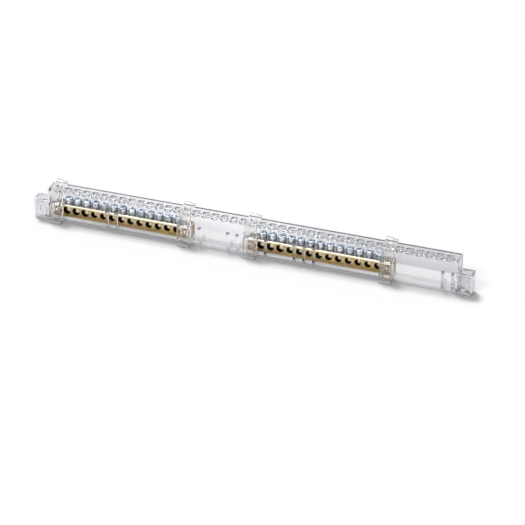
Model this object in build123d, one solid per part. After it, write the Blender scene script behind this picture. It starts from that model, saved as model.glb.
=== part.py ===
from build123d import *
import os

os.makedirs("parts", exist_ok=True)

# A clear support with two brass terminal bars, as it clips into a small distribution board.
# Millimetres. X runs along the support with 0 at its middle, and Z = 0 is the surface that the
# support stands on. Depths are measured from the wire side of the brass bars towards the rear,
# and the finished pieces are then moved so that the origin is the middle of the footprint.
# Places along X are counted in cells of one pitch from the middle of the support.

# The grid of terminals
pitch = 6.5
terminals_per_bar = 13
large_terminals = 3
gap_cells = 6
free_cells = 6
end_cells = 0.5

# The brass bars
bar_depth = 8.2
bar_height = 8.9
bar_lift = 2.1
bar_edge = 0.35
wire_height = 5.1
wire_bore = 4.7
large_wire_bore = 5.5
fixing_bore = 4.2
top_fixing_bore = 3.0
top_fixing_depth = 2.6

# The terminal screws
screw_head = 5.1
large_screw_head = 5.7
screw_head_height = 2.7
screw_thread = 4.4
large_screw_thread = 5.1
thread_clearance = 0.1
screw_raise = 1.3
screw_gap = 0.3
head_round = 0.4
slot_width = 0.9
slot_depth = 1.1
cross_width = 0.8
cross_length = 3.0

# The clear support
screw_headroom = 3.5
floor_thickness = 1.5
floor_ledge = 2.3
wall_thickness = 1.3
roof_thickness = 1.4
end_wall_thickness = 1.4
end_wall_setback = 1.1
rail_height = 5.8
rail_step = 0.6
bar_clearance = 0.1
outer_round = 0.4
edge_round = 0.3
wall_front_round = 0.5
collar_depth = 1.4
collar_bore = 4.6
collar_gap = 0.4
bearer_width = 1.2
bearer_setback = 1.5

# The snap fingers along the front of the support
finger_stem = 1.4
finger_width = 1.9
finger_thickness = 1.2
finger_clearance = 0.1
hook_reach = 1.0
hook_height = 1.1
hook_slope = 0.5
hook_drop = 1.2
spare_seat_cells = 1

# The feet at the two ends of the support
foot_length = 9.75
foot_height = 15.2
foot_depth = 7.8
foot_wall = 1.3
arch_width = 6.0
arch_height = 10.6
arch_sill = 1.6
slot_in_top = 3.4
slot_in_top_depth = 1.2
slot_in_top_setback = 0.6
tongue_width = 2.6
tongue_thickness = 1.2
tongue_gap = 1.4
tongue_nose = 0.9
tongue_nose_height = 1.6
foot_rib = 0.6
foot_rib_height = 0.8
foot_rib_drop = 1.6

# The clips that lock the ends of the bars
clip_width = 8.0
clip_wall = 1.2
clip_cheek = 1.0
clip_clearance = 0.1
clip_cap_depth = 4.2
clip_rib = 2.0
clip_rim = 0.5
clip_lip_reach = 3.7
clip_lip_height = 2.2
clip_pin = 3.6
clip_pin_entry = 2.9
clip_ring = 5.2
clip_ring_height = 0.5
clip_ring_bore = 3.0
clip_tab_height = 0.7
clip_tab_thickness = 1.3
clip_nub_height = 1.6
clip_nub_width = 4.4
clip_saddle_bore = 3.4

# Worked out from the sizes above
bar_cells = terminals_per_bar + 2
support_cells = 2 * end_cells + 2 * bar_cells + gap_cells + free_cells
support_length = support_cells * pitch
left_bar_start = end_cells - support_cells / 2
right_bar_start = left_bar_start + bar_cells + gap_cells
bar_bottom = floor_thickness + bar_lift
bar_top = bar_bottom + bar_height
bar_middle = bar_depth / 2
wire_z = bar_bottom + wire_height
floor_front = -floor_ledge
rail_front = bar_depth + bar_clearance
wall_front = rail_front + rail_step
support_rear = wall_front + wall_thickness
hook_top = bar_top + finger_clearance + hook_height
head_bottom = bar_top + screw_raise
head_top = head_bottom + screw_head_height
roof_underside = head_top + screw_headroom + collar_depth
support_height = roof_underside + roof_thickness
lip_front = floor_front - clip_lip_reach
saddle_bottom = support_height + clip_clearance
saddle_top = saddle_bottom + clip_wall
clip_plate_back = -finger_clearance - finger_thickness - clip_clearance
footprint_middle = (lip_front + support_rear) / 2


def box_between(x_range, y_range, z_range):
    """A block between two opposite corners."""
    size = [high - low for low, high in (x_range, y_range, z_range)]
    centre = [(low + high) / 2 for low, high in (x_range, y_range, z_range)]
    return Pos(*centre) * Box(*size)


def side_prism(points, x_start, x_end):
    """An outline in Y and Z, drawn out along X."""
    outline = Plane.YZ.offset(x_start) * Polygon(*points, align=None)
    return extrude(outline, amount=x_end - x_start)


def upright_pin(x, y, z_low, z_high, diameter):
    """A round pin or bore along Z."""
    return Pos(x, y, (z_low + z_high) / 2) * Cylinder(diameter / 2, z_high - z_low)


def cross_pin(x, z, y_low, y_high, diameter):
    """A round pin or bore along Y."""
    turned = Rot(90, 0, 0) * Cylinder(diameter / 2, y_high - y_low)
    return Pos(x, (y_low + y_high) / 2, z) * turned


def edge_along(shape, y, z):
    """The one edge along X that passes a place in Y and Z."""
    near = shape.edges().filter_by(Axis.X).filter_by_position(Axis.Y, y - 0.01, y + 0.01)
    return near.filter_by_position(Axis.Z, z - 0.01, z + 0.01)


def fixing_cells(bar_start):
    """The cells of the two fixings at the ends of a bar."""
    return [bar_start + 0.5, bar_start + bar_cells - 0.5]


def finger_cells():
    """The places of the snap fingers: in pairs about each clip seat, the same both ways."""
    seats = fixing_cells(left_bar_start) + fixing_cells(right_bar_start)
    seats.append(fixing_cells(left_bar_start)[1] + spare_seat_cells)
    seats.append(fixing_cells(right_bar_start)[0] + spare_seat_cells)
    mirrored = seats + [-seat for seat in seats]
    return sorted({seat + half for seat in mirrored for half in (-0.5, 0.5)})


def support_section():
    """The shell of the support, open to the front, with a rail behind the bars."""
    rail_top = floor_thickness + rail_height
    points = [
        (floor_front, 0),
        (support_rear, 0),
        (support_rear, support_height),
        (0, support_height),
        (0, roof_underside),
        (wall_front, roof_underside),
        (wall_front, rail_top),
        (rail_front, rail_top),
        (rail_front, floor_thickness),
        (floor_front, floor_thickness),
    ]
    shell = side_prism(points, -support_length / 2, support_length / 2)
    for y, z in ((support_rear, 0), (support_rear, support_height)):
        shell = fillet(edge_along(shell, y, z), outer_round)
    front_corners = [
        (floor_front, 0),
        (floor_front, floor_thickness),
        (rail_front, rail_top),
        (0, roof_underside),
        (0, support_height),
    ]
    for y, z in front_corners:
        shell = fillet(edge_along(shell, y, z), edge_round)
    return shell


def end_wall(side):
    """The full wall that closes one end, rounded down to the roof's front edge."""
    outer = side * support_length / 2
    inner = outer - side * end_wall_thickness
    x_range = (min(outer, inner), max(outer, inner))
    wall_edge = floor_front + end_wall_setback
    plate = box_between(x_range, (wall_edge, support_rear), (0, support_height))
    rear_edges = plate.edges().filter_by(Axis.X).sort_by(Axis.Y)[-2:]
    plate = fillet(rear_edges, outer_round)
    front_edges = plate.edges().filter_by(Axis.X).sort_by(Axis.Y)[:2]
    plate = fillet(front_edges.sort_by(Axis.Z)[-1], -wall_edge)
    upright_edges = plate.edges().filter_by(Axis.Z).sort_by(Axis.Y)[:2]
    return fillet(upright_edges, wall_front_round)


def roof_collars():
    """The guide collars under the roof, one over each cell, and the bores through them."""
    count = round(support_cells) - 1
    collar_low = roof_underside - collar_depth
    collars = []
    bores = []
    for index in range(count):
        x = (index - (count - 1) / 2) * pitch
        collars.append(upright_pin(x, bar_middle, collar_low, roof_underside, pitch - collar_gap))
        bores.append(upright_pin(x, bar_middle, collar_low - 1, support_height + 1, collar_bore))
    return collars, bores


def snap_finger(x):
    """One finger that rises in front of a bar and hooks over its top edge."""
    front = -finger_clearance - finger_thickness
    back = -finger_clearance
    hook_low = bar_top + finger_clearance
    points = [
        (front, 0),
        (back, 0),
        (back, hook_low),
        (back + hook_reach, hook_low),
        (back + hook_reach - hook_slope, hook_top),
        (front + hook_slope, hook_top),
        (front, hook_top - hook_slope),
    ]
    stem = side_prism(points, x - finger_stem / 2, x + finger_stem / 2)
    head_points = [(y, max(z, bar_top - hook_drop)) for y, z in points]
    head = side_prism(head_points, x - finger_width / 2, x + finger_width / 2)
    return stem + head


def finger_window(x):
    """The opening in the floor below a finger's hook."""
    return box_between(
        (x - finger_width / 2, x + finger_width / 2),
        (-finger_clearance, -finger_clearance + hook_reach),
        (-1, floor_thickness + 1),
    )


def bar_bearer(x):
    """A rib on the floor that a bar stands on."""
    return box_between(
        (x - bearer_width / 2, x + bearer_width / 2),
        (bearer_setback, rail_front + rail_step),
        (floor_thickness / 2, bar_bottom),
    )


def end_foot(side):
    """A hollow foot past one end wall, with a latch tongue in an arched front opening."""
    inner = side * (support_length / 2 - end_wall_thickness / 2)
    wall_face = side * support_length / 2
    outer = wall_face + side * foot_length
    cavity_end = outer - side * foot_wall
    middle = (wall_face + cavity_end) / 2
    foot_rear = floor_front + foot_depth
    body = box_between(
        (min(inner, outer), max(inner, outer)),
        (floor_front, foot_rear),
        (0, foot_height),
    )
    body = fillet(body.edges().filter_by(Axis.X).sort_by(Axis.Z)[-2:], outer_round)
    upright_edges = body.edges().filter_by(Axis.Z).sort_by(Axis.X)
    body = fillet(upright_edges[-2:] if side > 0 else upright_edges[:2], outer_round)
    body -= box_between(
        (min(wall_face, cavity_end), max(wall_face, cavity_end)),
        (floor_front + foot_wall, foot_rear - foot_wall),
        (-1, foot_height - foot_wall),
    )
    arch_spring = arch_height - arch_width / 2
    front_cut = (floor_front - 1, floor_front + foot_wall + 0.01)
    body -= box_between(
        (middle - arch_width / 2, middle + arch_width / 2),
        front_cut,
        (arch_sill, arch_spring),
    )
    body -= cross_pin(middle, arch_spring, front_cut[0], front_cut[1], arch_width)
    slot_front = floor_front + slot_in_top_setback
    body -= box_between(
        (middle - slot_in_top / 2, middle + slot_in_top / 2),
        (slot_front, slot_front + slot_in_top_depth),
        (foot_height - foot_wall - 1, foot_height + 1),
    )
    tongue_low = arch_sill + tongue_gap
    tongue = box_between(
        (middle - tongue_width / 2, middle + tongue_width / 2),
        (floor_front, floor_front + tongue_thickness),
        (tongue_low, arch_height + foot_wall / 2),
    )
    nose = side_prism(
        [
            (floor_front, tongue_low),
            (floor_front, tongue_low + tongue_nose_height),
            (floor_front - tongue_nose, tongue_low + tongue_nose_height / 2),
            (floor_front - tongue_nose / 2, tongue_low),
        ],
        middle - tongue_width / 2,
        middle + tongue_width / 2,
    )
    rib_top = foot_height - foot_rib_drop
    rib = box_between(
        (min(wall_face, outer), max(wall_face, outer)),
        (floor_front - foot_rib, floor_front + foot_wall / 2),
        (rib_top - foot_rib_height, rib_top),
    )
    return body + tongue + nose + rib


def support_housing():
    """The whole clear moulding."""
    collars, bores = roof_collars()
    fingers = [cell * pitch for cell in finger_cells()]
    housing = support_section() + [end_wall(side) for side in (-1, 1)]
    housing += [end_foot(side) for side in (-1, 1)]
    housing += collars
    housing -= bores
    housing -= [finger_window(x) for x in fingers if abs(x) < support_length / 2 - pitch]
    housing += [snap_finger(x) for x in fingers]
    housing += [bar_bearer(x) for x in fingers]
    return housing


def brass_bar(bar_start):
    """One brass bar with its wire holes, screw holes and end fixings."""
    x_low = bar_start * pitch
    x_high = x_low + bar_cells * pitch
    bar = box_between((x_low, x_high), (0, bar_depth), (bar_bottom, bar_top))
    bar = chamfer(bar.edges(), bar_edge)
    cuts = []
    for index in range(terminals_per_bar):
        x = (bar_start + 1.5 + index) * pitch
        is_large = index < large_terminals
        bore = large_wire_bore if is_large else wire_bore
        thread = large_screw_thread if is_large else screw_thread
        cuts.append(cross_pin(x, wire_z, -1, bar_depth + 1, bore))
        cuts.append(upright_pin(x, bar_middle, wire_z, bar_top + 1, thread + 2 * thread_clearance))
    for cell in fixing_cells(bar_start):
        x = cell * pitch
        cuts.append(cross_pin(x, wire_z, -1, bar_depth + 1, fixing_bore))
        cuts.append(upright_pin(x, bar_middle, bar_top - top_fixing_depth, bar_top + 1, top_fixing_bore))
    return bar - cuts


def terminal_screw(x, head_diameter, thread_diameter, bore):
    """One terminal screw, turned out far enough to take a wire."""
    tip = wire_z + bore / 2 + screw_gap
    head = upright_pin(x, bar_middle, head_bottom, head_top, head_diameter)
    head = fillet(head.edges().sort_by(Axis.Z)[-1], head_round)
    shank = upright_pin(x, bar_middle, tip, head_bottom + screw_head_height / 2, thread_diameter)
    shank = chamfer(shank.edges().sort_by(Axis.Z)[0], head_round)
    slot_range = (head_top - slot_depth, head_top + 1)
    slot = box_between(
        (x - head_diameter, x + head_diameter),
        (bar_middle - slot_width / 2, bar_middle + slot_width / 2),
        slot_range,
    )
    cross = box_between(
        (x - cross_width / 2, x + cross_width / 2),
        (bar_middle - cross_length / 2, bar_middle + cross_length / 2),
        slot_range,
    )
    return head + shank - slot - cross


def terminal_screws(bar_start, first, last, head_diameter, thread_diameter, bore):
    """A run of equal screws along one bar, each a solid of its own."""
    screws = []
    for index in range(first, last):
        x = (bar_start + 1.5 + index) * pitch
        screws.append(terminal_screw(x, head_diameter, thread_diameter, bore))
    return Compound([screw.solid() for screw in screws])


def clip_cheek_outline():
    """The side of a clip in Y and Z: a deep foot, a shallower strap and a low rim on the roof."""
    cap_low = floor_thickness + clip_clearance
    cap_top = hook_top + clip_clearance + clip_wall
    cap_front = clip_plate_back - clip_cap_depth
    strap_back = -clip_clearance
    rib_front = strap_back - clip_wall - clip_rib
    rim_top = saddle_top + clip_rim
    return [
        (lip_front, 0),
        (floor_front - clip_clearance, 0),
        (floor_front - clip_clearance, cap_low),
        (clip_plate_back, cap_low),
        (clip_plate_back, hook_top + clip_clearance),
        (strap_back, hook_top + clip_clearance),
        (strap_back, saddle_bottom),
        (support_rear, saddle_bottom),
        (support_rear, rim_top),
        (rib_front + clip_wall, rim_top),
        (rib_front, rim_top - clip_wall),
        (rib_front, cap_top),
        (cap_front + clip_wall, cap_top),
        (cap_front, cap_top - clip_wall),
        (cap_front, clip_lip_height),
        (lip_front, clip_lip_height),
    ]


def bar_clip(x):
    """One clear clip: two cheeks joined by a saddle, a strap and a plate with a pin in the bar."""
    half = clip_width / 2
    across = (x - half, x + half)
    strap_back = -clip_clearance
    strap_front = strap_back - clip_wall
    plate_front = clip_plate_back - clip_wall
    cap_front = clip_plate_back - clip_cap_depth
    cap_low = floor_thickness + clip_clearance
    cap_inner_top = hook_top + clip_clearance
    cheeks = clip_cheek_outline()
    clip = side_prism(cheeks, x - half, x - half + clip_cheek)
    clip += side_prism(cheeks, x + half - clip_cheek, x + half)
    clip += box_between(across, (strap_front, support_rear), (saddle_bottom, saddle_top))
    clip += box_between(across, (strap_front, strap_back), (cap_inner_top, saddle_top))
    clip += box_between(across, (cap_front + clip_wall, strap_back), (cap_inner_top, cap_inner_top + clip_wall))
    clip += box_between(across, (plate_front, clip_plate_back), (cap_low, cap_inner_top + clip_wall))
    clip += box_between(across, (cap_front, clip_plate_back), (cap_low, cap_low + clip_wall))
    clip += box_between(across, (lip_front, floor_front - clip_clearance), (0, clip_lip_height))
    tab_range = (support_rear - clip_tab_thickness, support_rear)
    clip += box_between(across, tab_range, (saddle_bottom, saddle_top + clip_tab_height))
    nub_across = (x - half, x - half + clip_nub_width)
    clip += box_between(nub_across, tab_range, (saddle_bottom, saddle_top + clip_nub_height))
    clip += cross_pin(x, wire_z, plate_front, clip_pin_entry, clip_pin)
    clip += cross_pin(x, wire_z, plate_front - clip_ring_height, plate_front + clip_wall / 2, clip_ring)
    clip -= cross_pin(x, wire_z, plate_front - 1, plate_front + clip_wall / 2, clip_ring_bore)
    return clip - upright_pin(x, bar_middle, saddle_bottom - 1, saddle_top + 1, clip_saddle_bore)


def build():
    """Every node of the terminal block by its name."""
    nodes = {"support_housing": support_housing()}
    starts = {"left": left_bar_start, "right": right_bar_start}
    for side, start in starts.items():
        nodes["brass_bar_" + side] = brass_bar(start)
        nodes["large_screws_" + side] = terminal_screws(
            start, 0, large_terminals, large_screw_head, large_screw_thread, large_wire_bore)
        nodes["terminal_screws_" + side] = terminal_screws(
            start, large_terminals, terminals_per_bar, screw_head, screw_thread, wire_bore)
    clip_places = fixing_cells(left_bar_start) + fixing_cells(right_bar_start)
    for number, cell in enumerate(clip_places, start=1):
        nodes["bar_clip_" + str(number)] = bar_clip(cell * pitch)
    return nodes


for name, shape in build().items():
    placed = Pos(0, -footprint_middle, 0) * shape
    export_step(placed, "parts/" + name + ".step")
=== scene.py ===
"""The look of a long clear terminal block with two brass bars, at its photograph's angle."""

import logging
import math
from dataclasses import dataclass
from enum import Enum
from typing import Any, Iterable

import bmesh
import bpy
from mathutils import Matrix, Vector


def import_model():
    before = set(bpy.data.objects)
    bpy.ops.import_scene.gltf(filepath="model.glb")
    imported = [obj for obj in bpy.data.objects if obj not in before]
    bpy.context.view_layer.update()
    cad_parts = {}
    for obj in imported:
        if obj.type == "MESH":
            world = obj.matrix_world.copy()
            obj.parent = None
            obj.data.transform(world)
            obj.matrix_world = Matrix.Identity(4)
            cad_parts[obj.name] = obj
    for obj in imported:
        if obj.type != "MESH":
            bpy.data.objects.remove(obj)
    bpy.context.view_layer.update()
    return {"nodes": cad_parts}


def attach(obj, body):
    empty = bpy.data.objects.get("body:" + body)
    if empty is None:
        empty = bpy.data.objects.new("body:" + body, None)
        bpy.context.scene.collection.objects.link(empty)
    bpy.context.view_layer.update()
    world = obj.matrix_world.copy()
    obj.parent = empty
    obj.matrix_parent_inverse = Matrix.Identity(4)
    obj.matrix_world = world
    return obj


Tree = bpy.types.NodeTree
Node = bpy.types.Node
Socket = bpy.types.NodeSocket

LOG = logging.getLogger("terminal_block")
MM = 0.001
BODY = "root"

# The wire terminals of the two bars, as in the part's source.
PITCH_MM = 6.5
TERMINALS = 13
FIRST_TERMINAL_X_MM = {"left": -126.75, "right": 9.75}

# Half the width of the soft step at the rim of a zone.
SOFT_MM = 0.05
# Past both ends of the part, so that a zone reaches along all of it.
FAR_MM = 200.0
# How much of a face's normal lies along an axis: under the first the face stands upright to it, over
# the second it faces straight along it.
UPRIGHT_NORMAL = 0.5
STRAIGHT_NORMAL = 0.9

# Clear walls stand one behind another, so light crosses many faces before it gets out again.
CLEAR_BOUNCES = 32
GLOSSY_BOUNCES = 8
DIFFUSE_BOUNCES = 4


def linear(colour: str) -> tuple[float, float, float, float]:
    """Turns an sRGB hex colour into linear light.

    Args:
        colour: six hex digits, such as "c8a050".

    Returns:
        Linear red, green, blue and an alpha of 1.
    """
    values = [int(colour[i:i + 2], 16) / 255 for i in (0, 2, 4)]
    red, green, blue = [v / 12.92 if v <= 0.04045 else ((v + 0.055) / 1.055) ** 2.4 for v in values]
    return red, green, blue, 1.0


def add_node(tree: Tree, kind: str, settings: dict[str, Any] | None = None, **inputs: Any) -> Node:
    """Adds one shader node with its settings, values and links.

    Args:
        tree: the node tree that takes the node.
        kind: Blender's name of the node type.
        settings: attributes of the node itself, such as operation.
        inputs: a value or a linked output for each input, with _ for a space, or i0, i1 by number.

    Returns:
        The new node.
    """
    node = tree.nodes.new(kind)
    for name, value in (settings or {}).items():
        setattr(node, name, value)
    for name, value in inputs.items():
        key = int(name[1:]) if name[0] == "i" and name[1:].isdigit() else name.replace("_", " ")
        socket = node.inputs[key]
        if isinstance(value, Socket):
            tree.links.new(value, socket)
        else:
            socket.default_value = value
    return node


def maths(tree: Tree, operation: str, *values: float | Socket) -> Socket:
    """Adds one arithmetic node.

    Args:
        tree: the tree that takes the node.
        operation: Blender's name of the operation, such as MULTIPLY.
        values: its inputs in order, each a number or an output socket.

    Returns:
        The output socket.
    """
    inputs = {"i%d" % index: value for index, value in enumerate(values)}
    return add_node(tree, "ShaderNodeMath", {"operation": operation}, **inputs).outputs[0]


def rescale(tree: Tree, value: Socket, source: tuple[float, float],
            target: tuple[float, float] = (0.0, 1.0)) -> Socket:
    """Stretches one range of values to another and holds them inside it.

    Args:
        tree: the tree that takes the node.
        value: the output socket with the values.
        source: the first and last value that count.
        target: what they turn into.

    Returns:
        The output socket.
    """
    return add_node(tree, "ShaderNodeMapRange", Value=value, From_Min=source[0], From_Max=source[1],
                    To_Min=target[0], To_Max=target[1]).outputs["Result"]


def above(tree: Tree, value: Socket, limit_mm: float, under: float = 0.0, over: float = 1.0) -> Socket:
    """Gives 1 where a length is over a limit and 0 where it is under it, with a soft step.

    Args:
        tree: the tree that takes the node.
        value: the length in metres.
        limit_mm: the limit.
        under: what to give under the limit instead of 0.
        over: what to give over the limit instead of 1.

    Returns:
        The output socket.
    """
    return rescale(tree, value, ((limit_mm - SOFT_MM) * MM, (limit_mm + SOFT_MM) * MM), (under, over))


def below(tree: Tree, value: Socket, limit_mm: float) -> Socket:
    """Gives 1 where a length in metres is under a limit in mm and 0 where it is over it."""
    return above(tree, value, limit_mm, under=1.0, over=0.0)


def between(tree: Tree, value: Socket, low_mm: float, high_mm: float) -> list[Socket]:
    """Gives two shares that are both 1 only where a length lies between two limits.

    Args:
        tree: the tree that takes the nodes.
        value: the length in metres.
        low_mm: the lower limit.
        high_mm: the upper limit.

    Returns:
        The two output sockets.
    """
    return [above(tree, value, low_mm), below(tree, value, high_mm)]


def product(tree: Tree, shares: list[Socket], scale: float = 1.0) -> Socket:
    """Multiplies shares with each other.

    Args:
        tree: the tree that takes the nodes.
        shares: the output sockets to multiply.
        scale: a number that multiplies the result.

    Returns:
        The output socket.
    """
    result = shares[0]
    for share in shares[1:]:
        result = maths(tree, "MULTIPLY", result, share)
    return maths(tree, "MULTIPLY", result, scale)


def blend(tree: Tree, share: Socket, first: Any, second: Any) -> Socket:
    """Mixes two colours by a share.

    Args:
        tree: the tree that takes the node.
        share: 0 for the first colour and 1 for the second.
        first: a colour or an output socket.
        second: a colour or an output socket.

    Returns:
        The output socket.
    """
    return add_node(tree, "ShaderNodeMix", {"data_type": "RGBA"}, i0=share, i6=first, i7=second).outputs[2]


def ramp(tree: Tree, value: Socket, stops: tuple[tuple[float, str], ...]) -> Socket:
    """Gives a colour that changes along a length.

    Args:
        tree: the tree that takes the nodes.
        value: the length in metres.
        stops: places in mm, in order, each with its sRGB hex colour.

    Returns:
        The output socket.
    """
    first, last = stops[0][0], stops[-1][0]
    node = add_node(tree, "ShaderNodeValToRGB", Fac=rescale(tree, value, (first * MM, last * MM)))
    marks = node.color_ramp.elements
    while len(marks) < len(stops):
        marks.new(0.5)
    for mark, (place_mm, colour) in zip(marks, stops):
        mark.position = (place_mm - first) / (last - first)
        mark.color = linear(colour)
    return node.outputs["Color"]


def face_normal(tree: Tree) -> Node:
    """Adds the flat normal of the face, split into X, Y and Z."""
    shape = add_node(tree, "ShaderNodeNewGeometry")
    return add_node(tree, "ShaderNodeSeparateXYZ", Vector=shape.outputs["True Normal"])


def upright_faces(tree: Tree) -> Socket:
    """Gives 1 on faces that stand upright and 0 on level ones."""
    level = maths(tree, "ABSOLUTE", face_normal(tree).outputs["Z"])
    return maths(tree, "LESS_THAN", level, UPRIGHT_NORMAL)


def seen_rays(tree: Tree) -> Socket:
    """Gives 1 for rays of the camera, of reflections and of light through clear things."""
    path = add_node(tree, "ShaderNodeLightPath")
    straight = maths(tree, "MAXIMUM", path.outputs["Is Camera Ray"], path.outputs["Is Glossy Ray"])
    return maths(tree, "MAXIMUM", straight, path.outputs["Is Transmission Ray"])


def relief(tree: Tree, height: Socket, strength: float, depth_mm: float) -> Socket:
    """Turns a pattern into fine relief, too shallow for the outline.

    Args:
        tree: the tree that takes the node.
        height: the pattern's output socket.
        strength: the share of the relief's effect.
        depth_mm: from its lowest to its highest point.

    Returns:
        The output socket of the bent normal.
    """
    return add_node(tree, "ShaderNodeBump", Strength=strength, Distance=depth_mm * MM,
                    Height=height).outputs["Normal"]


def metal(tree: Tree, colour: Socket, roughness: float | Socket, normal: Socket) -> Socket:
    """Adds the shader of a bare metal.

    Args:
        tree: the tree that takes the node.
        colour: the output socket of its colour.
        roughness: a number or an output socket.
        normal: the output socket of its normal.

    Returns:
        The shader's output socket.
    """
    return add_node(tree, "ShaderNodeBsdfPrincipled", Base_Color=colour, Metallic=1.0,
                    Roughness=roughness, Normal=normal).outputs[0]


def add_object(name: str, data: bpy.types.ID) -> bpy.types.Object:
    """Makes an object and puts it into the scene.

    Args:
        name: its name.
        data: its mesh, camera or light.

    Returns:
        The object.
    """
    added = bpy.data.objects.new(name, data)
    bpy.context.scene.collection.objects.link(added)
    return added


def aim(place: tuple[float, float, float], look: Vector, roll: float = 0.0) -> Matrix:
    """Stands a camera or a lamp at a place so that it looks along a direction.

    Args:
        place: its position in metres.
        look: the direction.
        roll: its turn about that direction in degrees.

    Returns:
        Its matrix.
    """
    turn = look.to_track_quat("-Z", "Y").to_matrix() @ Matrix.Rotation(math.radians(roll), 3, "Z")
    return Matrix.Translation(place) @ turn.to_4x4()


class Slot(Enum):
    """The material slots of the record."""

    CLEAR = "clear_polycarbonate"
    BRASS = "brass"
    ZINC = "zinc_plated_steel"


@dataclass(frozen=True)
class Pattern:
    """A cloudy pattern in a piece.

    Attributes:
        size_mm: the size of its largest clouds.
        detail: how many finer layers lie on them.
        roughness: how strong each finer layer is.
    """

    size_mm: float
    detail: float
    roughness: float

    def build(self, tree: Tree, place: Socket) -> Socket:
        """Adds the pattern.

        Args:
            tree: the tree that takes the node.
            place: the output socket of the position.

        Returns:
            The pattern's output socket.
        """
        return add_node(tree, "ShaderNodeTexNoise", Vector=place, Scale=1 / (self.size_mm * MM),
                        Detail=self.detail, Roughness=self.roughness).outputs["Fac"]


@dataclass(frozen=True)
class Zone:
    """A box in the frame, most often a band along the whole length, with an effect inside it.

    Attributes:
        front: its least Y in mm.
        rear: its greatest Y in mm.
        low: its least Z in mm.
        high: its greatest Z in mm.
        share: the share of the effect.
        tint: the colour of the effect, where it has one.
        upright: whether only upright faces have it.
        left: its least X in mm.
        right: its greatest X in mm.
    """

    front: float
    rear: float
    low: float
    high: float
    share: float
    tint: str = "f4f4f6"
    upright: bool = False
    left: float = -FAR_MM
    right: float = FAR_MM

    def mask(self, tree: Tree, at: Node) -> Socket:
        """Gives the share inside the box and 0 outside.

        Args:
            tree: the tree that takes the nodes.
            at: the split position.

        Returns:
            The output socket.
        """
        shares = between(tree, at.outputs["Y"], self.front, self.rear)
        shares += between(tree, at.outputs["Z"], self.low, self.high)
        if self.left > -FAR_MM or self.right < FAR_MM:
            shares += between(tree, at.outputs["X"], self.left, self.right)
        if self.upright:
            shares.append(upright_faces(tree))
        return product(tree, shares, self.share)

    def cover(self, tree: Tree, at: Node, shader: Socket, kind: str) -> Socket:
        """Lays a shader of the zone's tint over another one, inside the box.

        Args:
            tree: the tree that takes the nodes.
            at: the split position.
            shader: the output socket of the shader below.
            kind: Blender's name of the node type on top.

        Returns:
            The output socket of both.
        """
        layer = add_node(tree, kind, Color=linear(self.tint))
        return add_node(tree, "ShaderNodeMixShader", Fac=self.mask(tree, at), i1=shader,
                        i2=layer.outputs[0]).outputs[0]


@dataclass(frozen=True)
class Finish:
    """What a piece looks like: each finish has its own shader.

    Attributes:
        name: the material's name.
    """

    name: str

    def shader(self, tree: Tree) -> Socket:
        """Adds the finish's nodes and gives their shader's output socket."""
        raise NotImplementedError

    def build(self) -> bpy.types.Material:
        """Makes the material."""
        material = bpy.data.materials.new(self.name)
        material.use_nodes = True
        tree = material.node_tree
        tree.nodes.clear()
        output = add_node(tree, "ShaderNodeOutputMaterial")
        tree.links.new(self.shader(tree), output.inputs["Surface"])
        return material


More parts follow.
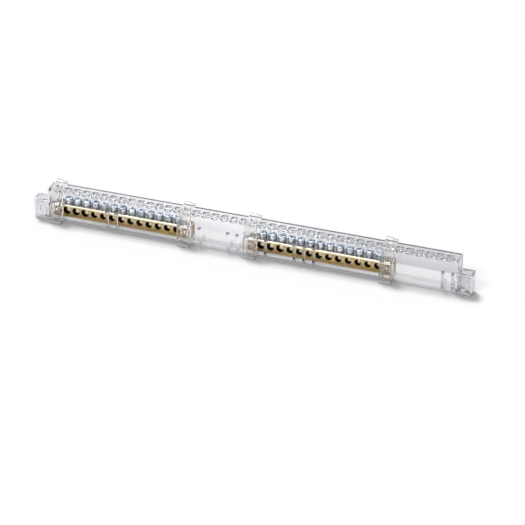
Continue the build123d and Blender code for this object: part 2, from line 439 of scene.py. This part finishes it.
@dataclass(frozen=True)
class MouldedPolycarbonate(Finish):
    """Clear polycarbonate from a polished mould: glass-like, with a faint grey cast, partly its own and
    partly painted shade.

    Its IOR is 1.585, so its edges are stronger than glass, and thin walls show slow flow ripples.
    Its tint changes along X as painted shade: palest near the middle and darker towards the right end.
    Light that only passes through it on its way to other things goes straight on.

    Attributes:
        name: the material's name.
        painted_shade_along_x: places along X in mm, from left to right, each with its tint of painted shade.
        painted_light_tint: the near-white tint of the zones that are lightened as painted light.
        painted_light_zones: zones lightened to that tint as painted light, each with how far it goes to it.
        passing_level: what a level face lets through of the light on its way elsewhere.
        passing_upright: the same for an upright face, which that light meets more often near its rims.
        passing_zones: zones that let another share of that light through.
        thin_zones: walls so thin that a share of the light goes straight through them.
        painted_light_edges: edges with white diffuse as painted light for their bright lines.
        painted_root_shade: painted shade where the fingers' roots show the dark gap below the right bar.
        painted_hook_shade: grey painted shade on the hooks at the tops of the fingers, over their
            highlights.
        ior: how strongly it bends light.
        roughness: of its polish.
        ripple: the pattern of the flow ripples.
        ripple_height_mm: their height.
        ripple_strength: the share of their effect.
    """

    name: str = "clear moulded polycarbonate"
    # Painted shade: the tint is palest near the middle and darker towards the right end.
    painted_shade_along_x: tuple[tuple[float, str], ...] = (
        (-150.0, "e6e6ea"), (-140.0, "eaeaee"), (-50.0, "f4f4f7"), (0.0, "f6f6fa"), (90.0, "d8d9dd"),
        (139.0, "d3d4d8"), (141.0, "e2e2e6"), (150.0, "e2e2e6"))
    painted_light_tint: str = "fbfbfd"
    # Painted light: these zones are lightened where things seen through them look brighter.
    painted_light_zones: tuple[Zone, ...] = (
        Zone(6.0, 9.0, 1.6, 7.3, 0.85),  # the back wall's lower part
        Zone(-5.0, 9.0, -1.0, 1.6, 0.95),  # the floor
        Zone(-3.0, 9.0, 19.5, 23.0, 0.35))  # the roof
    passing_level: str = "cacacd"
    passing_upright: str = "a0a0a4"
    passing_zones: tuple[Zone, ...] = (Zone(-4.5, 9.0, -1.0, 1.6, 1.0, "f4f4f6"),)
    thin_zones: tuple[Zone, ...] = (
        Zone(-1.8, 5.8, 20.6, 22.7, 0.3, "f8f8fa", upright=True),  # the collars' walls in the roof
        Zone(5.9, 6.9, 7.0, 7.4, 0.9, "ffffff"))  # the top of the rail
    # White diffuse as painted light for the bright lines along these edges.
    painted_light_edges: tuple[Zone, ...] = (
        Zone(-4.5, -4.0, 1.1, 1.6, 0.8),  # the floor's front edge
        Zone(7.2, 8.2, 22.0, 22.9, 0.75),  # the roof's rear edge
        Zone(-1.8, 5.8, 20.6, 22.7, 0.27, "ffffff", upright=True))  # the collars' walls
    # Dark diffuse as painted shade of the gap below the right bar.
    painted_root_shade: tuple[Zone, ...] = tuple(
        Zone(-3.5, -2.1, 2.9, 4.1, 0.85, "303036", left=place * PITCH_MM - 0.8, right=place * PITCH_MM + 0.1)
        for place in (2, 5, 6, 7))
    # Grey diffuse as painted shade on the fingers' hooks.
    painted_hook_shade: tuple[Zone, ...] = (Zone(-3.6, -1.0, 12.4, 13.9, 0.35, "9a9aa2", left=-137.0, right=137.0),)
    ior: float = 1.585
    roughness: float = 0.03
    ripple: Pattern = Pattern(5.0, 2.0, 0.5)
    ripple_height_mm: float = 0.02
    ripple_strength: float = 0.6

    def let_pass(self, tree: Tree, at: Node, shader: Socket) -> Socket:
        """Lets light that is only on its way to other things go straight on.

        Args:
            tree: the tree that takes the nodes.
            at: the split position.
            shader: the output socket of the shader for all other light.

        Returns:
            The output socket of both.
        """
        tint = blend(tree, upright_faces(tree), linear(self.passing_level), linear(self.passing_upright))
        for zone in self.passing_zones:
            tint = blend(tree, zone.mask(tree, at), tint, linear(zone.tint))
        passing = add_node(tree, "ShaderNodeBsdfTransparent", Color=tint)
        path = add_node(tree, "ShaderNodeLightPath")
        elsewhere = maths(tree, "MAXIMUM", path.outputs["Is Shadow Ray"], path.outputs["Is Diffuse Ray"])
        return add_node(tree, "ShaderNodeMixShader", Fac=elsewhere, i1=shader,
                        i2=passing.outputs[0]).outputs[0]

    def shader(self, tree: Tree) -> Socket:
        """Adds the plastic's nodes and gives their shader's output socket."""
        place = add_node(tree, "ShaderNodeTexCoord").outputs["Object"]
        at = add_node(tree, "ShaderNodeSeparateXYZ", Vector=place)
        rippled = relief(tree, self.ripple.build(tree, place), self.ripple_strength, self.ripple_height_mm)
        # Painted shade along X, lightened as painted light in the zones below.
        tint = ramp(tree, at.outputs["X"], self.painted_shade_along_x)
        for zone in self.painted_light_zones:
            tint = blend(tree, zone.mask(tree, at), tint, linear(self.painted_light_tint))
        shader = add_node(tree, "ShaderNodeBsdfPrincipled", Base_Color=tint, IOR=self.ior,
                          Roughness=self.roughness, Transmission_Weight=1.0, Normal=rippled).outputs[0]
        for zone in self.thin_zones:
            shader = zone.cover(tree, at, shader, "ShaderNodeBsdfTransparent")
        for zone in self.painted_light_edges + self.painted_root_shade + self.painted_hook_shade:
            shader = zone.cover(tree, at, shader, "ShaderNodeBsdfDiffuse")
        return self.let_pass(tree, at, shader)


@dataclass(frozen=True)
class ClipPolycarbonate(MouldedPolycarbonate):
    """The same plastic in the small clips: warmer and nearly free of ripples, with painted light on the
    lips.
    """

    name: str = "clear clip polycarbonate"
    # Painted shade, a little darker towards the right end.
    painted_shade_along_x: tuple[tuple[float, str], ...] = ((-150.0, "fefdfc"), (0.0, "fefdfc"), (150.0, "f6f4f2"))
    painted_light_zones: tuple[Zone, ...] = ()
    passing_level: str = "dadadc"
    passing_upright: str = "dadadc"
    passing_zones: tuple[Zone, ...] = ()
    thin_zones: tuple[Zone, ...] = ()
    # White diffuse as painted light on the shaded lip and the strap's front.
    painted_light_edges: tuple[Zone, ...] = (
        Zone(-8.3, -4.6, -0.1, 2.4, 0.5),  # the lip on the table
        Zone(-8.2, -7.6, 1.7, 2.3, 0.4),  # its front edge
        Zone(-3.6, -3.3, 15.0, 24.0, 0.3))  # the strap's front
    painted_root_shade: tuple[Zone, ...] = ()
    painted_hook_shade: tuple[Zone, ...] = ()
    ripple_height_mm: float = 0.006


@dataclass(frozen=True)
class DrawnBrass(Finish):
    """Free-cutting brass bar, drawn through a die and drilled: long fine lines and a warm shine.

    The walls of the bores that the light doesn't reach are painted shade. The front's colour by height is
    painted light: an olive lower part as a painted reflection of the shaded floor, and a line of painted
    shade under a pale painted highlight along the top edge. The grey top is a painted reflection; the sawn
    ends are brown.

    Attributes:
        name: the material's name.
        painted_light_bands: heights in mm, each with the front's colour there, as painted reflection, shade
            and highlight.
        dull: the colour of the tarnish.
        dull_share: the most that the tarnish covers.
        dull_range: the tarnish's pattern where it begins and where it is fullest.
        tarnish: the pattern of the tarnish.
        blotches: colours of small blotches, each with their pattern where it begins and is fullest.
        blotch_share: the most that a blotch covers.
        blotch: the pattern of the blotches.
        painted_top_reflection: the colour of the top, a grey painted reflection.
        cut: the colour of the slanted faces, a painted highlight.
        slant_normal: the share of their normal that points up.
        slant_reach: how far off that share may be.
        sawn: the colour of the ends.
        bore: the colour of a bore's walls where the light doesn't reach, as painted shade.
        bore_height_mm: the height of the wire bores' axes.
        bore_reach_mm: past the largest bore's radius.
        bore_normal: the most that a bore wall's normal points to the front or rear.
        dark_from: the least X of a dark bore wall's normal, in the left and the right bar.
        lines: the pattern of the drawing lines.
        line_stretch: their width over their length.
        line_range: what is counted of their pattern.
        line_depth_mm: their depth.
        line_strength: the share of their effect.
        roughnesses: the least and greatest roughness in them.
    """

    name: str = "drawn and drilled brass"
    painted_light_bands: tuple[tuple[float, str], ...] = (
        (3.8, "ac8d60"), (4.6, "aa9364"), (5.5, "83724e"), (6.5, "97845a"), (8.7, "c4b693"), (9.9, "c7bb9f"),
        (10.5, "94896e"), (10.9, "a59a7d"), (11.3, "f1e8ca"), (12.0, "fefbe4"), (12.4, "cac0aa"))
    dull: str = "8d744a"
    dull_share: float = 0.55
    dull_range: tuple[float, float] = (0.4, 0.75)
    tarnish: Pattern = Pattern(7.0, 4.0, 0.6)
    blotches: tuple[tuple[str, float, float], ...] = (("d8b75c", 0.52, 0.66), ("c49c84", 0.48, 0.34))
    blotch_share: float = 0.5
    blotch: Pattern = Pattern(3.5, 3.0, 0.6)
    # Grey painted reflection on the top.
    painted_top_reflection: str = "96948d"
    # Painted highlight on the slanted faces.
    cut: str = "ece2cb"
    slant_normal: float = 0.7
    slant_reach: float = 0.15
    sawn: str = "a38f6a"
    # Painted shade on the bores' walls.
    bore: str = "3a2d1d"
    bore_height_mm: float = 8.7
    bore_reach_mm: float = 3.0
    bore_normal: float = 0.4
    dark_from: tuple[float, float] = (0.1, -0.35)
    lines: Pattern = Pattern(0.25, 3.0, 0.6)
    line_stretch: float = 0.02
    line_range: tuple[float, float] = (0.2, 0.8)
    line_depth_mm: float = 0.02
    line_strength: float = 0.5
    roughnesses: tuple[float, float] = (0.182, 0.364)

    def in_bore(self, tree: Tree, at: Node, facing: Node) -> Socket:
        """Gives 1 on the walls of the wire bores that the light doesn't reach.

        Args:
            tree: the tree that takes the nodes.
            at: the split position.
            facing: the split normal.

        Returns:
            The output socket.
        """
        # The bores' axes lie half a pitch past each whole pitch from the middle of the block.
        past_pitch = maths(tree, "WRAP", at.outputs["X"], PITCH_MM * MM, 0.0)
        aside = maths(tree, "SUBTRACT", past_pitch, PITCH_MM / 2 * MM)
        up = maths(tree, "SUBTRACT", at.outputs["Z"], self.bore_height_mm * MM)
        reach = add_node(tree, "ShaderNodeCombineXYZ", X=aside, Y=up)
        length = add_node(tree, "ShaderNodeVectorMath", {"operation": "LENGTH"}, i0=reach.outputs[0])
        across = maths(tree, "LESS_THAN", maths(tree, "ABSOLUTE", facing.outputs["Y"]), self.bore_normal)
        dark = []
        for first_x_mm, least in zip(FIRST_TERMINAL_X_MM.values(), self.dark_from):
            start = first_x_mm - PITCH_MM / 2
            along = between(tree, at.outputs["X"], start, start + TERMINALS * PITCH_MM)
            dark.append(product(tree, along + [maths(tree, "GREATER_THAN", facing.outputs["X"], least)]))
        near = below(tree, length.outputs["Value"], self.bore_reach_mm)
        return product(tree, [near, across, maths(tree, "MAXIMUM", *dark)])

    def shader(self, tree: Tree) -> Socket:
        """Adds the brass's nodes and gives their shader's output socket."""
        place = add_node(tree, "ShaderNodeTexCoord").outputs["Object"]
        at = add_node(tree, "ShaderNodeSeparateXYZ", Vector=place)
        facing = face_normal(tree)
        dulled = rescale(tree, self.tarnish.build(tree, place), self.dull_range, (0.0, self.dull_share))
        # The front's colour by height: painted reflection of the shaded floor, painted shade and a painted
        # highlight.
        colour = blend(tree, dulled, ramp(tree, at.outputs["Z"], self.painted_light_bands), linear(self.dull))
        patches = self.blotch.build(tree, place)
        for tone, begins, fullest in self.blotches:
            patch = rescale(tree, patches, (begins, fullest), (0.0, self.blotch_share))
            colour = blend(tree, patch, colour, linear(tone))
        endways = maths(tree, "ABSOLUTE", facing.outputs["X"])
        # The top's painted reflection, the slanted faces' painted highlight, the brown ends and the bores'
        # painted shade.
        faces = (
            (maths(tree, "GREATER_THAN", facing.outputs["Z"], STRAIGHT_NORMAL), self.painted_top_reflection),
            (maths(tree, "COMPARE", facing.outputs["Z"], self.slant_normal, self.slant_reach), self.cut),
            (maths(tree, "GREATER_THAN", endways, STRAIGHT_NORMAL), self.sawn),
            (self.in_bore(tree, at, facing), self.bore))
        for share, tone in faces:
            colour = blend(tree, share, colour, linear(tone))
        stretched = add_node(tree, "ShaderNodeMapping", Vector=place, Scale=(self.line_stretch, 1.0, 1.0))
        lines = self.lines.build(tree, stretched.outputs["Vector"])
        return metal(tree, colour, rescale(tree, lines, self.line_range, self.roughnesses),
                     relief(tree, lines, self.line_strength, self.line_depth_mm))


@dataclass(frozen=True)
class BlueZinc(Finish):
    """Steel with bright blue-passivated zinc: pale, cool and a little cloudy, with darker patches.

    Attributes:
        name: the material's name.
        pale: the colour of most of it.
        deep: the colour of the patches.
        deep_range: the clouds' pattern where a patch begins and where it is fullest.
        clouds: the pattern of the patches.
        dents: the pattern of the dents from the plating drum.
        dent_depth_mm: their depth.
        dent_strength: the share of their effect.
        roughness: of the plate.
    """

    name: str = "blue passivated zinc plate"
    pale: str = "f4f9ff"
    deep: str = "74859a"
    deep_range: tuple[float, float] = (0.4, 0.62)
    clouds: Pattern = Pattern(1.3, 5.0, 0.65)
    dents: Pattern = Pattern(1.1, 2.0, 0.5)
    dent_depth_mm: float = 0.25
    dent_strength: float = 0.8
    roughness: float = 0.3

    def shader(self, tree: Tree) -> Socket:
        """Adds the zinc's nodes and gives their shader's output socket."""
        place = add_node(tree, "ShaderNodeTexCoord").outputs["Object"]
        patches = rescale(tree, self.clouds.build(tree, place), self.deep_range)
        colour = blend(tree, patches, linear(self.pale), linear(self.deep))
        dented = relief(tree, self.dents.build(tree, place), self.dent_strength, self.dent_depth_mm)
        return metal(tree, colour, self.roughness, dented)


@dataclass(frozen=True)
class ZincInBore(BlueZinc):
    """The same plate inside a wire bore, with warm tints as a painted reflection of the brass around it."""

    name: str = "zinc plate that mirrors brass"
    # Warm tints as a painted reflection of the brass.
    pale: str = "fdf3dc"
    deep: str = "dcc69a"
    roughness: float = 0.45


@dataclass(frozen=True)
class WhiteBoard(Finish):
    """Matt white board, lit so that it reads as plain white where no shadow lies.

    Attributes:
        name: the material's name.
        white: how much light it gives back.
        lift: its glow where it is seen.
        lift_through: the further glow where it is seen through clear plastic.
    """

    name: str = "matt white board"
    white: float = 0.86
    lift: float = 0.14
    lift_through: float = 0.06

    def shader(self, tree: Tree) -> Socket:
        """Adds the board's nodes and gives their shader's output socket."""
        board = add_node(tree, "ShaderNodeBsdfDiffuse", Color=(self.white, self.white, self.white, 1.0))
        path = add_node(tree, "ShaderNodeLightPath")
        through = maths(tree, "MULTIPLY", path.outputs["Is Transmission Ray"], self.lift_through)
        strength = maths(tree, "MULTIPLY_ADD", seen_rays(tree), self.lift, through)
        glow = add_node(tree, "ShaderNodeEmission", Strength=strength)
        return add_node(tree, "ShaderNodeAddShader", i0=board.outputs[0], i1=glow.outputs[0]).outputs[0]


@dataclass(frozen=True)
class Camera:
    """The camera that took the photograph, as fitted to the rows of holes and the outlines.

    Attributes:
        place: position in metres.
        azimuth: degrees to the right of straight ahead.
        elevation: degrees above the horizon.
        roll: degrees.
        lens_mm: focal length on the sensor.
        sensor_mm: the sensor's width.
        clip: the nearest and farthest distance in metres that it sees.
    """

    place: tuple[float, float, float] = (0.35575, -0.9645, 0.6131)
    azimuth: float = 19.72
    elevation: float = 31.12
    roll: float = -0.11
    lens_mm: float = 126.93
    sensor_mm: float = 36.0
    clip: tuple[float, float] = (0.05, 50.0)

    def build(self) -> bpy.types.Object:
        """Makes the camera and gives it to the scene."""
        data = bpy.data.cameras.new("photograph_camera")
        data.lens = self.lens_mm
        data.sensor_width = self.sensor_mm
        data.clip_start, data.clip_end = self.clip
        camera = add_object("photograph_camera", data)
        around, up = math.radians(self.azimuth), math.radians(self.elevation)
        look = Vector((-math.sin(around) * math.cos(up), math.cos(around) * math.cos(up), -math.sin(up)))
        camera.matrix_world = aim(self.place, look, self.roll)
        bpy.context.scene.camera = camera
        return camera


@dataclass(frozen=True)
class Lamp:
    """One soft, far lamp that lights the whole floor evenly.

    Attributes:
        name: the lamp's name.
        place: a position in metres that its light comes from, towards the origin.
        spread: the angle in degrees that the lamp fills, for soft shadows.
        power: watts per square metre.
    """

    name: str
    place: tuple[float, float, float]
    spread: float
    power: float

    def build(self) -> bpy.types.Object:
        """Makes the lamp."""
        data = bpy.data.lights.new(self.name, "SUN")
        data.angle = math.radians(self.spread)
        data.energy = self.power
        lamp = add_object(self.name, data)
        lamp.matrix_world = aim(self.place, -Vector(self.place))
        return lamp


@dataclass(frozen=True)
class Studio:
    """A pale floor that keeps the shadow, a plain white surround and soft lamps.

    Attributes:
        floor_side: the floor's size in metres.
        board: the floor's finish.
        surround: the surround's colour.
        surround_light: the strength of the surround as a light; it is 1 where it is seen.
        lamps: the soft lamps.
    """

    floor_side: float = 6.0
    board: Finish = WhiteBoard()
    surround: str = "ffffff"
    surround_light: float = 0.14
    lamps: tuple[Lamp, ...] = (
        Lamp("rear_lamp", (-0.5, 0.42, 1.25), 19.0, 2.55),
        Lamp("front_lamp", (-0.38, -1.0, 1.0), 16.0, 0.7))

    def build_world(self) -> None:
        """Makes the white surround."""
        world = bpy.data.worlds.new("white_surround")
        world.use_nodes = True
        tree = world.node_tree
        tree.nodes.clear()
        strength = rescale(tree, seen_rays(tree), (0.0, 1.0), (self.surround_light, 1.0))
        background = add_node(tree, "ShaderNodeBackground", Color=linear(self.surround), Strength=strength)
        output = add_node(tree, "ShaderNodeOutputWorld", Surface=background.outputs[0])
        tree.nodes.active = output
        bpy.context.scene.world = world

    def build_floor(self) -> bpy.types.Object:
        """Makes the floor."""
        mesh = bpy.data.meshes.new("studio_floor")
        form = bmesh.new()
        bmesh.ops.create_grid(form, x_segments=1, y_segments=1, size=self.floor_side / 2)
        form.to_mesh(mesh)
        form.free()
        floor = add_object("studio_floor", mesh)
        mesh.materials.append(self.board.build())
        return floor

    def build(self) -> None:
        """Makes the world, the floor and the lamps."""
        self.build_world()
        self.build_floor()
        for lamp in self.lamps:
            lamp.build()


@dataclass(frozen=True)
class CarriedNodes:
    """Solid pieces whose form is right and that only take their finish here.

    Attributes:
        names: the pieces.
        finish: the material's maker.
        slot: the record's slot; not used.
    """

    names: tuple[str, ...]
    finish: Finish
    slot: Slot

    def dress(self, nodes: dict[str, bpy.types.Object]) -> bpy.types.Material:
        """Gives each piece the finish.

        Args:
            nodes: the frame's objects by name.

        Returns:
            The finish's material.
        """
        material = self.finish.build()
        for name in self.names:
            piece = nodes[name]
            if not piece.material_slots:
                piece.data.materials.append(material)
            for slot in piece.material_slots:
                slot.link = "OBJECT"
                slot.material = material
            LOG.info("%s has %s", name, material.name)
        return material


@dataclass(frozen=True)
class ThreadedEnds:
    """The cut threads of one bar's screws: their points in the wire bores and the raised parts above.

    Attributes:
        side: left or right.
        first_x_mm: the first terminal's place.
        large: how many of the terminals are large, from the left.
        depth_mm: the Y of the screws' axes.
        large_radius_mm: the crest radius in the large terminals.
        small_radius_mm: the crest radius in the others.
        thread_mm: the thread's pitch.
        crest_mm: how deep the thread is cut.
        cone_mm: the length of the coned point.
        cone_slope: how much it narrows over its length.
        raised_wider_mm: what the raised parts are wider than the points, as no hole holds them.
        tip_z_mm: the height of the points' ends.
        bore_z_mm: the height where the points leave the wire bores.
        bar_top_mm: the height of the bar's top.
        head_z_mm: the height of the heads' undersides.
        sides: the corners of each ring.
        steps: the rings in one turn of the thread.
    """

    side: str
    first_x_mm: float
    large: int = 3
    depth_mm: float = 2.0
    large_radius_mm: float = 2.55
    small_radius_mm: float = 2.2
    thread_mm: float = 0.7
    crest_mm: float = 0.22
    cone_mm: float = 0.8
    cone_slope: float = 0.6
    raised_wider_mm: float = 0.1
    tip_z_mm: float = 6.75
    bore_z_mm: float = 12.3
    bar_top_mm: float = 12.4
    head_z_mm: float = 13.9
    sides: int = 24
    steps: int = 4

    def radius(self, full: float, z: float, angle: float, low: float) -> float:
        """Gives the thread's radius at a height and angle, all in mm, with a coned point.

        Args:
            full: the crest radius.
            z: the height.
            angle: the turn in radians.
            low: the height of the point's end.

        Returns:
            The radius.
        """
        turn = (z / self.thread_mm - angle / (2 * math.pi)) % 1.0
        groove = self.crest_mm * abs(2 * turn - 1)
        cone = max(0.0, self.cone_mm - (z - low)) * self.cone_slope
        return full - groove - cone

    def add_screw(self, form: bmesh.types.BMesh, x: float, full: float, low: float, high: float) -> None:
        """Adds one length of thread.

        Args:
            form: the mesh that takes it.
            x: its place in mm.
            full: the crest radius in mm.
            low: the lower end in mm.
            high: the upper end in mm.
        """
        count = round((high - low) / self.thread_mm * self.steps)
        rings = []
        for level in range(count + 1):
            z = low + (high - low) * level / count
            ring = []
            for side in range(self.sides):
                angle = 2 * math.pi * side / self.sides
                reach = self.radius(full, z, angle, low)
                place = (x + reach * math.cos(angle), self.depth_mm + reach * math.sin(angle), z)
                ring.append(form.verts.new([v * MM for v in place]))
            rings.append(ring)
        for lower, upper in zip(rings, rings[1:]):
            for side in range(self.sides):
                after = (side + 1) % self.sides
                form.faces.new((lower[side], lower[after], upper[after], upper[side]))
        form.faces.new(list(reversed(rings[0])))
        form.faces.new(rings[-1])

    def build_piece(self, name: str, low: float, high: float, wider: float,
                    material: bpy.types.Material) -> bpy.types.Object:
        """Makes one length of thread at every terminal, as one piece.

        Args:
            name: the piece's name without its side.
            low: the lower end in mm.
            high: the upper end in mm.
            wider: what is added to the radii in mm.
            material: the screws' material there.

        Returns:
            The piece.
        """
        mesh = bpy.data.meshes.new(name + self.side)
        form = bmesh.new()
        for index in range(TERMINALS):
            full = self.large_radius_mm if index < self.large else self.small_radius_mm
            self.add_screw(form, self.first_x_mm + index * PITCH_MM, full + wider, low, high)
        form.to_mesh(mesh)
        form.free()
        mesh.shade_smooth()
        piece = add_object(name + self.side, mesh)
        mesh.materials.append(material)
        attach(piece, BODY)
        LOG.info("%s has %d faces", piece.name, len(mesh.polygons))
        return piece

    def build(self, zinc: bpy.types.Material, points: bpy.types.Material) -> None:
        """Makes the raised threads and the points in the bores.

        Args:
            zinc: the material of the raised threads.
            points: the material of the points.
        """
        self.build_piece("raised_threads_", self.bar_top_mm, self.head_z_mm, self.raised_wider_mm, zinc)
        self.build_piece("screw_points_", self.tip_z_mm, self.bore_z_mm, 0.0, points)


def set_render() -> None:
    """Sets the plain view and enough bounces for light to get through the clear walls."""
    scene = bpy.context.scene
    scene.view_settings.view_transform = "Standard"
    scene.cycles.max_bounces = CLEAR_BOUNCES
    scene.cycles.transmission_bounces = CLEAR_BOUNCES
    scene.cycles.transparent_max_bounces = CLEAR_BOUNCES
    scene.cycles.glossy_bounces = GLOSSY_BOUNCES
    scene.cycles.diffuse_bounces = DIFFUSE_BOUNCES
    scene.cycles.caustics_reflective = False
    scene.cycles.caustics_refractive = False


def main() -> None:
    """Builds the scene piece by piece."""
    logging.basicConfig(level=logging.INFO, format="%(message)s")
    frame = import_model()
    nodes = frame["nodes"]
    Camera().build()
    set_render()
    Studio().build()
    CarriedNodes(("support_housing",), MouldedPolycarbonate(), Slot.CLEAR).dress(nodes)
    clips = tuple("bar_clip_%d" % number for number in (1, 2, 3, 4))
    CarriedNodes(clips, ClipPolycarbonate(), Slot.CLEAR).dress(nodes)
    CarriedNodes(("brass_bar_left", "brass_bar_right"), DrawnBrass(), Slot.BRASS).dress(nodes)
    screws = ("large_screws_left", "large_screws_right", "terminal_screws_left", "terminal_screws_right")
    zinc = CarriedNodes(screws, BlueZinc(), Slot.ZINC).dress(nodes)
    zinc_in_bore = ZincInBore().build()
    for side, first_x_mm in FIRST_TERMINAL_X_MM.items():
        ThreadedEnds(side, first_x_mm).build(zinc, zinc_in_bore)


if __name__ == "__main__":
    main()
